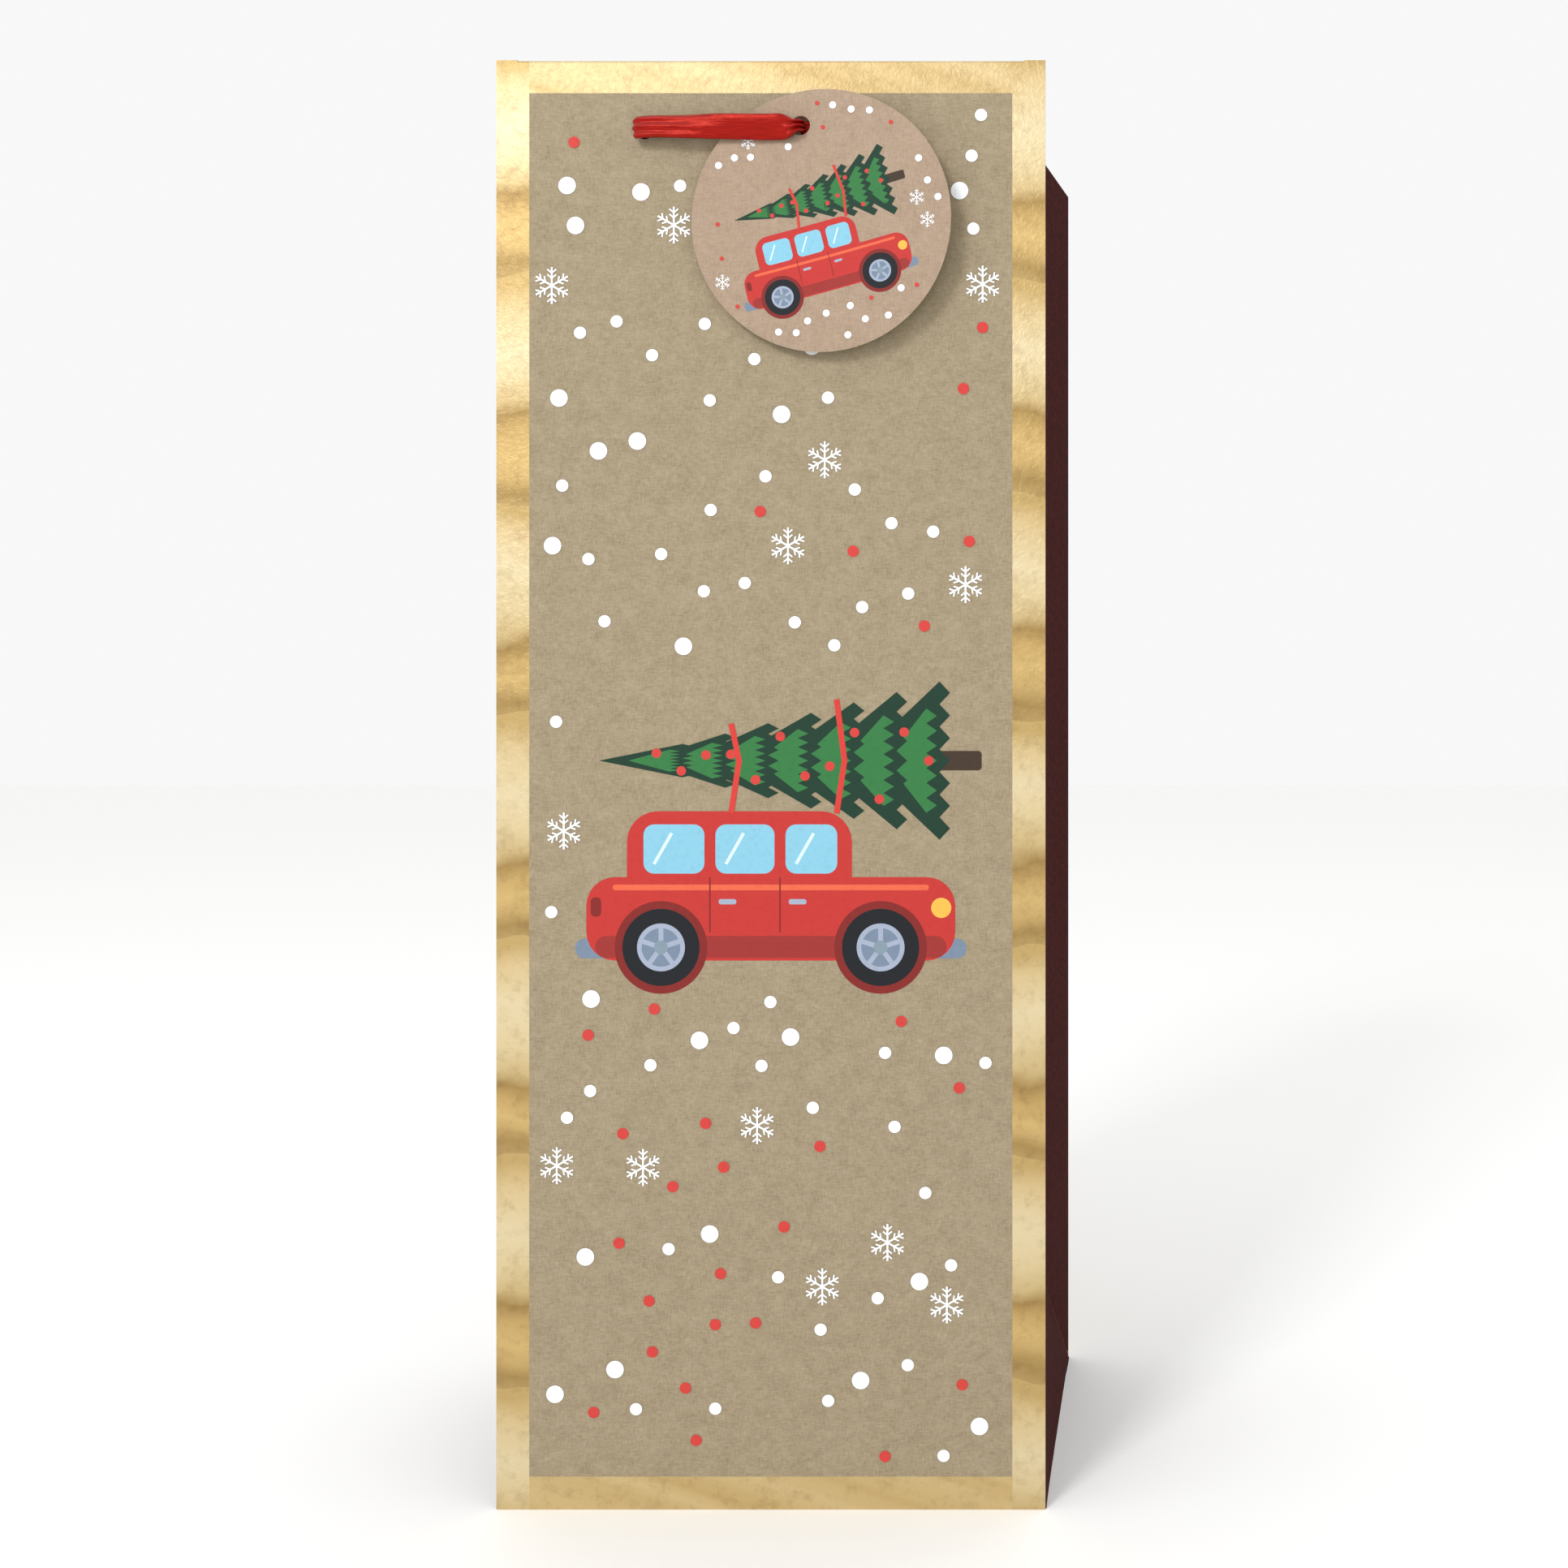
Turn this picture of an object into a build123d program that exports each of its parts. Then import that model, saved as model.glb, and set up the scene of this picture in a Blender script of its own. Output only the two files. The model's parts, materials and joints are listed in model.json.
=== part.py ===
from build123d import *
import os
from math import cos, hypot, radians, sin, tan

os.makedirs("parts", exist_ok=True)

# A paper gift bag for one wine bottle, standing open on its base. Millimetres and degrees.
# The origin is the middle of the base's underside, +Z is up and the front panel faces -Y.

# Paper wall
width = 125.0              # front panel, edge to edge
height = 330.0             # base to mouth
gusset = 80.0              # side panel, its two halves together
paper = 0.3                # thickness of the wall paper
pleat = 12.0               # lean of each gusset half as the bag stands
fold_travel = 60.0         # how much further each half leans when the bag is folded
triangle_height = 50.0     # apex of the triangle that each side panel makes above the base
crease_gap = 0.3           # free space that two folding walls keep

# Mouth
hem_depth = 40.0           # turned-in paper round the mouth
hem_card = 0.6             # board strip inside the front and back hems
hem_card_cover = 2.0       # how far the hem runs below its board strip
hem_card_drop = 1.0        # top of the board strip below the mouth's fold
hole_radius = 2.0          # punched holes for the ribbon
hole_drop = 16.0           # mouth to hole centre
hole_spacing = 57.4        # left hole to right hole

# Base
base_overlap = 20.0        # how far the front and rear base flaps lie over each other
side_flap = 34.0           # reach of each side base flap
base_card = 0.8            # board laid in the base
base_edge_gap = 0.6        # base flaps to the walls round them
base_card_gap = 1.5        # board to the walls round it
base_wall_gap = 0.7        # moving walls to the top of the board
seam_tab = 15.0            # glued strip that closes the wall, inside the rear left corner
seam_tab_foot = 4.0        # bottom end of that strip above the floor

# Ribbon and tag
ribbon_width = 6.0
ribbon_thickness = 0.4
ribbon_pass_radius = 1.5   # the ribbon gathered up where it goes through a hole
ribbon_stand_off = 0.5     # ribbon centre line in front of a panel, beside its hole
ribbon_end_reach = 0.8     # how far the flat ribbon runs past the middle of a hole
rear_ribbon_bow = 0.6      # how far the rear ribbon's middle stands further off
tag_diameter = 60.0
tag_thickness = 0.5
tag_stand_off = 2.2        # back of the tag in front of the front panel
tag_hole_radius = 2.2
tag_hole_inset = 8.5       # tag's edge to its hole's centre
tag_hole_x = 7.4           # hole's place across the front panel
tag_tilt = 13.0            # the tag hangs a little askew
tag_gap = 0.3              # tag to the ribbon over it
tag_swing_clear = 24.0     # where the ribbon has come forward of the swinging tag
ribbon_joint_gap = 0.6     # between the ribbon's ends at the holes and the stretch on the tag
knot_width = 6.2
knot_thickness = 5.0
knot_height = 7.0
knot_rounding = 2.2
knot_end = 7.0             # cut end of the ribbon below its knot

# Ribbon tails inside the bag, from each hole: (inwards from the panel's outer face, down from the hole)
tail_routes = {
    "front_left": [(1.6, 0.3), (3.9, 2.6), (5.4, 5.8), (6.4, 11.7), (6.0, 22.5), (6.6, 42), (5.7, 70), (6.3, 98)],
    "front_right": [(1.6, 0.3), (3.8, 2.7), (5.2, 6.0), (6.1, 12.0), (6.5, 23.5), (5.8, 44), (6.5, 75), (6.0, 106)],
    "back_left": [(1.6, 0.3), (3.9, 2.6), (5.3, 5.9), (6.2, 11.8), (5.8, 22.0), (6.4, 40), (5.8, 66), (6.2, 91)],
    "back_right": [(1.6, 0.3), (3.8, 2.7), (5.4, 5.9), (6.3, 11.9), (6.6, 23.0), (6.0, 43), (6.6, 72), (6.1, 101)],
}

# Places that follow from the sizes above
half_gusset = gusset / 2
hinge_x = width / 2 - paper / 2
hinge_y = half_gusset * cos(radians(pleat))
depth = 2 * (hinge_y + 1.5 * paper)
closed_angle = radians(90 - pleat - fold_travel)
corner_trim = crease_gap / sin(closed_angle)
centre_trim = (crease_gap + paper * cos(closed_angle)) / (2 * sin(closed_angle))
hem_corner_trim = (crease_gap - paper / 2 + 1.5 * paper * cos(closed_angle)) / sin(closed_angle)
hem_stack = paper + hem_card + paper
hem_inset = (hem_card + paper / 2 + crease_gap + 1.5 * paper) / tan(closed_angle)
tab_inset = (paper + crease_gap) / tan(closed_angle)
base_stack = 3 * paper + base_card
wall_foot = base_stack + base_wall_gap
hole_x = hole_spacing / 2
hole_z = height - hole_drop
ribbon_foot = hole_z - ribbon_width / 2
tag_radius = tag_diameter / 2
tag_hole_offset = tag_radius - tag_hole_inset
ribbon_over_tag = tag_stand_off + tag_thickness + tag_gap + ribbon_thickness / 2
ribbon_under_tag = (tag_stand_off + ribbon_stand_off) / 3


def save(builder, name):
    builder.part.label = name
    export_step(builder.part, f"parts/{name}.step")


def wall(facing, inner, thick, half_width, foot, top, holed):
    """A sheet across the front (facing -1) or the back (+1), its outer face `inner` inside the bag's."""
    face_y = facing * (depth / 2 - inner)
    with BuildPart() as sheet:
        with BuildSketch(Plane.XZ.offset(-face_y)):
            with Locations((0, (foot + top) / 2)):
                Rectangle(2 * half_width, top - foot)
            if holed:
                with Locations((-hole_x, hole_z), (hole_x, hole_z)):
                    Circle(hole_radius, mode=Mode.SUBTRACT)
        extrude(amount=facing * thick)
    return sheet


def flat_ribbon(points):
    """Ribbon on edge: `points` are (across, along Y) of its centre line, seen from above."""
    with BuildSketch(Plane.XY.offset(ribbon_foot)) as edge:
        with BuildLine():
            Polyline(*points)
        trace(line_width=ribbon_thickness)
    extrude(edge.sketch, amount=ribbon_width)


def gathered_ribbon(x, start_y, end_y):
    """The ribbon drawn together to go through a hole at x."""
    with BuildSketch(Plane.XZ.offset(-start_y)) as section:
        with Locations((x, hole_z)):
            Circle(ribbon_pass_radius)
    extrude(section.sketch, amount=start_y - end_y)


def front_y(stand_off):
    return -depth / 2 - stand_off


# Front panel, and the back panel that the base hangs on
save(wall(-1, 0, paper, width / 2, wall_foot, height, True), "front_panel")
save(wall(1, 0, paper, width / 2, 0, height, True), "back_panel")

# Board strips and turned-in paper of the front and back hems
for facing, side in ((-1, "front"), (1, "back")):
    half_hem = hinge_x - hem_inset
    card_foot = height - hem_depth + hem_card_cover
    card_top = height - hem_card_drop
    save(wall(facing, paper, hem_card, half_hem, card_foot, card_top, True), f"{side}_hem_card")
    save(wall(facing, paper + hem_card, paper, half_hem, height - hem_depth, height, True), f"{side}_hem")

# Gusset halves with their turned-in hems. Each half runs from a corner crease to the middle crease.
for hand, hand_name in ((1, "right"), (-1, "left")):
    for end, end_name in ((1, "rear"), (-1, "front")):
        lean = radians(pleat)
        sheet_plane = Plane(
            origin=(hand * hinge_x, end * hinge_y, 0),
            x_dir=(-hand * sin(lean), -end * cos(lean), 0),
            z_dir=(-end * cos(lean), hand * sin(lean), 0),
        )
        inward = hand * end
        middle = half_gusset - centre_trim
        middle_foot = triangle_height * middle / half_gusset + 2 * crease_gap
        with BuildPart() as half:
            with BuildSketch(sheet_plane):
                with BuildLine():
                    Polyline(
                        (corner_trim, wall_foot),
                        (middle, middle_foot),
                        (middle, height),
                        (corner_trim, height),
                        close=True,
                    )
                make_face()
            extrude(amount=paper / 2, both=True)
        save(half, f"{hand_name}_gusset_{end_name}")

        with BuildPart() as half_hem_sheet:
            with BuildSketch(sheet_plane.offset(inward * paper / 2)):
                with Locations(((hem_corner_trim + middle) / 2, height - hem_depth / 2)):
                    Rectangle(middle - hem_corner_trim, hem_depth)
            extrude(amount=inward * paper)
        save(half_hem_sheet, f"{hand_name}_hem_{end_name}")

# Side triangles: the part of each side panel that stays with the base, leaning in to the pleat
lean_in = half_gusset * sin(radians(pleat))
slope_length = hypot(lean_in, triangle_height)
edge_inset = 4 * crease_gap
for hand, hand_name in ((1, "right"), (-1, "left")):
    triangle_plane = Plane(
        origin=(hand * width / 2, 0, 0),
        x_dir=(0, hand, 0),
        z_dir=(hand * triangle_height, 0, lean_in),
    )
    with BuildPart() as triangle:
        with BuildSketch(triangle_plane):
            with BuildLine():
                Polyline(
                    (-hinge_y + edge_inset, 0),
                    (hinge_y - edge_inset, 0),
                    (0, slope_length - edge_inset * triangle_height / hinge_y),
                    close=True,
                )
            make_face()
        extrude(amount=-paper)
        # the sloping sheet is cut level with the floor
        with BuildSketch(Plane.XY):
            Rectangle(2 * width, 2 * depth)
        extrude(amount=-width, mode=Mode.SUBTRACT)
    save(triangle, f"{hand_name}_side_triangle")

# Front and rear base flaps, one over the other
flap_half_width = width / 2 - paper - base_edge_gap
with BuildPart() as front_flap:
    with BuildSketch(Plane.XY):
        with Locations((0, (-depth / 2 + base_overlap / 2) / 2)):
            Rectangle(2 * flap_half_width, depth / 2 + base_overlap / 2)
    extrude(amount=paper)
save(front_flap, "front_base_flap")

with BuildPart() as rear_flap:
    with BuildSketch(Plane.XY.offset(paper)):
        with Locations((0, (depth / 2 - paper - base_overlap / 2) / 2)):
            Rectangle(2 * flap_half_width, depth / 2 - paper + base_overlap / 2)
    extrude(amount=paper)
save(rear_flap, "rear_base_flap")

# Side base flaps, cut at 45 degrees where they pass under the front and rear flaps
flap_half_depth = depth / 2 - paper - base_edge_gap
for hand, hand_name in ((1, "right"), (-1, "left")):
    outer = hand * flap_half_width
    inner = hand * (flap_half_width - side_flap)
    with BuildPart() as side_base_flap:
        with BuildSketch(Plane.XY.offset(2 * paper)):
            with BuildLine():
                Polyline(
                    (outer, -flap_half_depth),
                    (outer, flap_half_depth),
                    (inner, flap_half_depth - side_flap),
                    (inner, -flap_half_depth + side_flap),
                    close=True,
                )
            make_face()
        extrude(amount=paper)
    save(side_base_flap, f"{hand_name}_base_flap")

with BuildPart() as board:
    with BuildSketch(Plane.XY.offset(3 * paper)):
        Rectangle(width - 2 * (paper + base_card_gap), depth - 2 * (paper + base_card_gap))
    extrude(amount=base_card)
save(board, "base_card")

# Glued strip that closes the wall into a tube, inside the rear left corner
with BuildPart() as tab:
    with BuildSketch(Plane.XZ.offset(-(depth / 2 - 2 * paper))):
        with Locations((-hinge_x + tab_inset + seam_tab / 2, (seam_tab_foot + height - hem_depth) / 2)):
            Rectangle(seam_tab, height - hem_depth - seam_tab_foot)
    extrude(amount=-paper)
save(tab, "side_seam_tab")

# Front ribbon: its two ends at the bag's holes, and the stretch that carries the tag
hem_inside = -depth / 2 + hem_stack + ribbon_thickness
with BuildPart() as ribbon_left:
    flat_ribbon([
        (-hole_x - ribbon_end_reach, front_y(ribbon_stand_off)),
        (-hole_x + ribbon_end_reach, front_y(ribbon_stand_off)),
        (-tag_swing_clear, front_y(ribbon_over_tag)),
    ])
    gathered_ribbon(-hole_x, front_y(ribbon_stand_off), hem_inside)
save(ribbon_left, "front_ribbon_left")

with BuildPart() as ribbon_right:
    flat_ribbon([
        (tag_swing_clear, front_y(ribbon_under_tag)),
        (hole_x - ribbon_end_reach, front_y(ribbon_stand_off)),
        (hole_x + ribbon_end_reach, front_y(ribbon_stand_off)),
    ])
    gathered_ribbon(hole_x, front_y(ribbon_stand_off), hem_inside)
save(ribbon_right, "front_ribbon_right")

with BuildPart() as tag_ribbon:
    flat_ribbon([
        (-tag_swing_clear + ribbon_joint_gap, front_y(ribbon_over_tag)),
        (tag_hole_x + ribbon_end_reach, front_y(ribbon_over_tag)),
    ])
    flat_ribbon([
        (tag_hole_x - ribbon_end_reach, front_y(ribbon_under_tag)),
        (tag_swing_clear - ribbon_joint_gap, front_y(ribbon_under_tag)),
    ])
    gathered_ribbon(tag_hole_x, front_y(ribbon_over_tag), front_y(ribbon_under_tag))
save(tag_ribbon, "front_ribbon_on_tag")

# Rear ribbon, from hole to hole
with BuildPart() as ribbon_back:
    flat_ribbon([
        (-hole_x - ribbon_end_reach, -front_y(ribbon_stand_off)),
        (0, -front_y(ribbon_stand_off + rear_ribbon_bow)),
        (hole_x + ribbon_end_reach, -front_y(ribbon_stand_off)),
    ])
    gathered_ribbon(-hole_x, -hem_inside, -front_y(ribbon_stand_off))
    gathered_ribbon(hole_x, -hem_inside, -front_y(ribbon_stand_off))
save(ribbon_back, "back_ribbon")

# Gift tag: a card disc that hangs from the ribbon by its hole
tag_centre = (
    tag_hole_x + tag_hole_offset * sin(radians(tag_tilt)),
    hole_z - tag_hole_offset * cos(radians(tag_tilt)),
)
with BuildPart() as tag:
    with BuildSketch(Plane.XZ.offset(-front_y(tag_stand_off))):
        with Locations(tag_centre):
            Circle(tag_radius)
        with Locations((tag_hole_x, hole_z)):
            Circle(tag_hole_radius, mode=Mode.SUBTRACT)
    extrude(amount=tag_thickness)
save(tag, "gift_tag")

# Ribbon tails that hang inside the bag, each with its knot
for corner, route in tail_routes.items():
    facing = -1 if corner.startswith("front") else 1
    x = -hole_x if corner.endswith("left") else hole_x
    points = [Vector(x, facing * (depth / 2 - inwards), hole_z - down) for inwards, down in route]
    radii = []
    for before, here, after in zip(points, points[1:], points[2:]):
        shorter_run = min((here - before).length, (after - here).length)
        half_turn = radians((here - before).get_angle(after - here)) / 2
        radii.append(0.45 * shorter_run / tan(half_turn))
    print(f"{corner} tail radii:", ", ".join(f"{radius:.1f}" for radius in radii))
    with BuildPart() as tail:
        with BuildLine() as tail_line:
            FilletPolyline(*points, radius=radii)
        start_direction = (points[1] - points[0]).normalized()
        with BuildSketch(Plane(origin=points[0], x_dir=(1, 0, 0), z_dir=start_direction)):
            Rectangle(ribbon_width, ribbon_thickness)
        sweep(path=tail_line.wire())
    tail_length = tail_line.wire().length
    expected = tail_length * ribbon_width * ribbon_thickness
    print(f"  length {tail_length:.1f} mm, volume {tail.part.volume:.1f} of {expected:.1f} mm3")
    save(tail, f"{corner}_tail")

    tip = points[-1]
    with BuildPart() as knot:
        with BuildSketch(Plane.XY.offset(tip.Z - knot_height + ribbon_thickness)):
            with Locations((tip.X, tip.Y)):
                Rectangle(knot_width, knot_thickness)
        extrude(amount=knot_height)
        fillet(knot.edges(), radius=min(knot_rounding, 0.44 * min(knot_width, knot_thickness)))
        with BuildSketch(Plane.XY.offset(tip.Z - knot_height - knot_end)):
            with Locations((tip.X, tip.Y)):
                Rectangle(ribbon_width, ribbon_thickness)
        extrude(amount=knot_end + knot_rounding)
    save(knot, f"{corner}_knot")
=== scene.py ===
import bpy
import bmesh
import json
import math
import random
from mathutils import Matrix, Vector
from mathutils.geometry import tessellate_polygon


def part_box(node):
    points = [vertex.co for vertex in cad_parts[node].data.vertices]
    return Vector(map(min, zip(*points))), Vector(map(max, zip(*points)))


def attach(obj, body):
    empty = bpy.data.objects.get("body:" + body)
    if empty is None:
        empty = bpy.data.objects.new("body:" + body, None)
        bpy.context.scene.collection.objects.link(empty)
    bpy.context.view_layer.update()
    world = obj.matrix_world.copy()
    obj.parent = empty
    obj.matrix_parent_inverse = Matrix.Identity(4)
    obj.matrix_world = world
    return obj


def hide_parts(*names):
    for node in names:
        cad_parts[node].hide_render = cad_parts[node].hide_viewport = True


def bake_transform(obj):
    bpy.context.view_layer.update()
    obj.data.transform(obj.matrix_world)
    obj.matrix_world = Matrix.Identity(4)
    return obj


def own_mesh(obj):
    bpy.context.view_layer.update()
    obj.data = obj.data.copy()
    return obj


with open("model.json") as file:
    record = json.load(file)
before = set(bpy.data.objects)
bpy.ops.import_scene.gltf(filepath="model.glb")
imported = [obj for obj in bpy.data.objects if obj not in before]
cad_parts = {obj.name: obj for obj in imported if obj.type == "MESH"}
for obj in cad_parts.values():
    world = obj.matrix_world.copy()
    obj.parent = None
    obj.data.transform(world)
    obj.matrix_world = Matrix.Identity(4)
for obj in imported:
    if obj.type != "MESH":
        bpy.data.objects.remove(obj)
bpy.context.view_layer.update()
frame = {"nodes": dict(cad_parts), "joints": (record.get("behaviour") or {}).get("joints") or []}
mm = 0.001


def toLinear(hexColour, alpha=1.0):
    parts = [int(hexColour[i:i + 2], 16) / 255 for i in (1, 3, 5)]
    return [c / 12.92 if c <= 0.04045 else ((c + 0.055) / 1.055) ** 2.4 for c in parts] + [alpha]


def addNode(tree, kind, settings=(), links=()):
    # one node, its settings by attribute or input name, and its incoming links
    node = tree.nodes.new(kind)
    for key, value in dict(settings).items():
        if isinstance(key, int) or key in node.inputs:
            node.inputs[key].default_value = value
        else:
            setattr(node, key, value)
    for key, source in dict(links).items():
        tree.links.new(source, node.inputs[key])
    return node


def newMaterial(name, **settings):
    material = bpy.data.materials.new(name)
    material.use_nodes = True
    shader = material.node_tree.nodes["Principled BSDF"]
    for key, value in settings.items():
        shader.inputs[key.replace("_", " ")].default_value = value
    return material, material.node_tree, shader


def addRamp(tree, source, stops):
    ramp = addNode(tree, "ShaderNodeValToRGB", links={"Fac": source})
    elements = ramp.color_ramp.elements
    while len(elements) < len(stops):
        elements.new(0.5)
    for element, (place, colour) in zip(elements, stops):
        element.position = place
        element.color = toLinear(colour) if isinstance(colour, str) else (colour, colour, colour, 1)
    return ramp


# ---- paper and board

kraft = {
    "fibreMm": 0.35,      # pulp fibre bundles, drawn twice as coarse as real ones so that they show
    "cloudMm": 3.5,       # uneven pulp density
    "fleckMm": 1.3,
}


def kraftPaper(name, light, mid, dark, roughness=0.82, fleck="#6d5940"):
    # brown kraft, uncoated: matt, cloudy pulp with short crossing fibres and a few dark flecks
    material, tree, shader = newMaterial(name, Roughness=roughness, IOR=1.5, Specular_IOR_Level=0.25)
    spot = addNode(tree, "ShaderNodeTexCoord").outputs["Object"]
    cloud = addNode(tree, "ShaderNodeTexNoise",
                    {"Scale": 1000 / kraft["cloudMm"], "Detail": 6.0, "Roughness": 0.68}, {"Vector": spot})
    fibres = []
    for turn, stretch in ((0.5, (1.0, 1.0, 0.22)), (-0.9, (0.25, 0.25, 1.0))):
        lay = addNode(tree, "ShaderNodeMapping", {"Rotation": (0, turn, 0), "Scale": stretch},
                      {"Vector": spot})
        fibres.append(addNode(tree, "ShaderNodeTexNoise",
                              {"Scale": 1000 / kraft["fibreMm"], "Detail": 3.0, "Roughness": 0.6},
                              {"Vector": lay.outputs[0]}).outputs[0])
    crossed = addNode(tree, "ShaderNodeMath", {"operation": "ADD"}, {0: fibres[0], 1: fibres[1]})
    halved = addNode(tree, "ShaderNodeMath", {"operation": "MULTIPLY", 1: 0.5}, {0: crossed.outputs[0]})
    pulp = addNode(tree, "ShaderNodeMix", {"data_type": "FLOAT", "Factor": 0.72},
                   {2: cloud.outputs[0], 3: halved.outputs[0]})
    tone = addRamp(tree, pulp.outputs[0], [(0.36, dark), (0.5, mid), (0.64, light)])
    cells = addNode(tree, "ShaderNodeTexVoronoi", {"Scale": 1000 / kraft["fleckMm"]}, {"Vector": spot})
    fewCells = addRamp(tree, cells.outputs["Color"], [(0.86, 0.0), (0.9, 1.0)])
    nearMiddle = addRamp(tree, cells.outputs["Distance"], [(0.06, 1.0), (0.13, 0.0)])
    flecks = addNode(tree, "ShaderNodeMath", {"operation": "MULTIPLY"},
                     {0: fewCells.outputs[0], 1: nearMiddle.outputs[0]})
    soft = addNode(tree, "ShaderNodeMath", {"operation": "MULTIPLY", 1: 0.55}, {0: flecks.outputs[0]})
    colour = addNode(tree, "ShaderNodeMix", {"data_type": "RGBA", 7: toLinear(fleck)},
                     {"Factor": soft.outputs[0], 6: tone.outputs[0]})
    bump = addNode(tree, "ShaderNodeBump", {"Strength": 0.22, "Distance": 0.00012},
                   {"Height": pulp.outputs[0]})
    tree.links.new(colour.outputs[2], shader.inputs["Base Color"])
    tree.links.new(bump.outputs[0], shader.inputs["Normal"])
    return material


def goldFoil(name):
    # pale gold effect foil on kraft, finely crinkled; its paired darker bands and paler stretches are painted
    # reflection in the base colour
    material, tree, shader = newMaterial(name, Metallic=0.35, Roughness=0.44)
    reflectionBandMm = 50.3
    run = addNode(tree, "ShaderNodeUVMap").outputs[0]
    wander = addNode(tree, "ShaderNodeTexNoise", {"Scale": 45.0, "Detail": 2.0}, {"Vector": run})
    offset = addNode(tree, "ShaderNodeVectorMath", {"operation": "MULTIPLY_ADD", 1: (0.012, 0.012, 0)},
                     {0: wander.outputs["Color"], 2: run})
    along = addNode(tree, "ShaderNodeSeparateXYZ", links={0: offset.outputs[0]})
    bands = addNode(tree, "ShaderNodeMath", {"operation": "DIVIDE", 1: reflectionBandMm * mm}, {0: along.outputs[0]})
    phase = addNode(tree, "ShaderNodeMath", {"operation": "FRACT"}, {0: bands.outputs[0]})
    # painted reflection: the dark and pale gold tones of the bands
    tone = addRamp(tree, phase.outputs[0], [
        (0.0, "#a58a54"), (0.06, "#997d45"), (0.13, "#b6995f"), (0.2, "#c1a468"), (0.29, "#b4965b"),
        (0.36, "#987b43"), (0.42, "#bda675"), (0.52, "#cab78c"), (0.68, "#d0c09a"), (0.85, "#c7b081"),
        (0.95, "#b3985f")])
    spot = addNode(tree, "ShaderNodeTexCoord").outputs["Object"]
    mottle = addNode(tree, "ShaderNodeTexNoise", {"Scale": 320.0, "Detail": 6.0, "Roughness": 0.7},
                     {"Vector": spot})
    grain = addRamp(tree, mottle.outputs[0], [(0.3, "#b9a680"), (0.5, "#fffdf6"), (0.75, "#fffaf0")])
    colour = addNode(tree, "ShaderNodeMix", {"data_type": "RGBA", "blend_type": "MULTIPLY", "Factor": 0.35},
                     {6: tone.outputs[0], 7: grain.outputs[0]})
    crinkle = addNode(tree, "ShaderNodeTexNoise",
                      {"Scale": 650.0, "Detail": 4.0, "Roughness": 0.62, "Distortion": 0.9},
                      {"Vector": spot})
    bump = addNode(tree, "ShaderNodeBump", {"Strength": 0.5, "Distance": 0.0003},
                   {"Height": crinkle.outputs[0]})
    tree.links.new(colour.outputs[2], shader.inputs["Base Color"])
    tree.links.new(bump.outputs[0], shader.inputs["Normal"])
    return material


def printedPaper(name, deep, mid, worn, roughness=0.85):
    # kraft flooded with dark red offset ink: the pulp's relief stays, the ink thins on high fibres
    material, tree, shader = newMaterial(name, Roughness=roughness, IOR=1.5, Specular_IOR_Level=0.06)
    spot = addNode(tree, "ShaderNodeTexCoord").outputs["Object"]
    pulp = addNode(tree, "ShaderNodeTexNoise", {"Scale": 700.0, "Detail": 6.0, "Roughness": 0.7},
                   {"Vector": spot})
    tone = addRamp(tree, pulp.outputs[0], [(0.34, deep), (0.52, mid), (0.72, worn)])
    bump = addNode(tree, "ShaderNodeBump", {"Strength": 0.2, "Distance": 0.00012},
                   {"Height": pulp.outputs[0]})
    tree.links.new(tone.outputs[0], shader.inputs["Base Color"])
    tree.links.new(bump.outputs[0], shader.inputs["Normal"])
    return material


def greyBoard(name):
    # recycled grey board, calendered: soft mottled grey with paper scraps in it
    return kraftPaper(name, "#aaa69b", "#979387", "#7f7b70", 0.88, "#5d6470")


def offsetInk(name, colour):
    # flat offset ink on kraft: semi-matt, a little uneven where the pulp drinks it
    material, tree, shader = newMaterial(name, Roughness=0.6, IOR=1.48, Specular_IOR_Level=0.2)
    spot = addNode(tree, "ShaderNodeTexCoord").outputs["Object"]
    pulp = addNode(tree, "ShaderNodeTexNoise", {"Scale": 900.0, "Detail": 4.0, "Roughness": 0.65},
                   {"Vector": spot})
    thin = addRamp(tree, pulp.outputs[0], [(0.3, "#cfc8bf"), (0.5, "#ffffff")])
    tint = addNode(tree, "ShaderNodeMix",
                   {"data_type": "RGBA", "blend_type": "MULTIPLY", "Factor": 0.22, 6: toLinear(colour)},
                   {7: thin.outputs[0]})
    bump = addNode(tree, "ShaderNodeBump", {"Strength": 0.1, "Distance": 0.0001},
                   {"Height": pulp.outputs[0]})
    tree.links.new(tint.outputs[2], shader.inputs["Base Color"])
    tree.links.new(bump.outputs[0], shader.inputs["Normal"])
    return material


def satinRibbon(name):
    # polyester satin, woven: long warp floats along the ribbon give a stretched, bright sheen
    material, tree, shader = newMaterial(name, Roughness=0.27, IOR=1.52, Anisotropic=0.6,
                                         Specular_IOR_Level=0.9, Specular_Tint=toLinear("#ff5540"))
    threadMm = 0.16       # warp spacing, drawn about one and a half times as coarse so that it shows
    run = addNode(tree, "ShaderNodeUVMap").outputs[0]
    across = addNode(tree, "ShaderNodeMapping", {"Scale": (250.0, 1000 / threadMm, 1)}, {"Vector": run})
    warp = addNode(tree, "ShaderNodeTexNoise", {"Scale": 1.0, "Detail": 2.0}, {"Vector": across.outputs[0]})
    tone = addRamp(tree, warp.outputs[0], [(0.3, "#6f0d0c"), (0.55, "#8f1513"), (0.8, "#a31e1a")])
    bump = addNode(tree, "ShaderNodeBump", {"Strength": 0.35, "Distance": 0.00012},
                   {"Height": warp.outputs[0]})
    tree.links.new(tone.outputs[0], shader.inputs["Base Color"])
    tree.links.new(bump.outputs[0], shader.inputs["Normal"])
    return material


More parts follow.
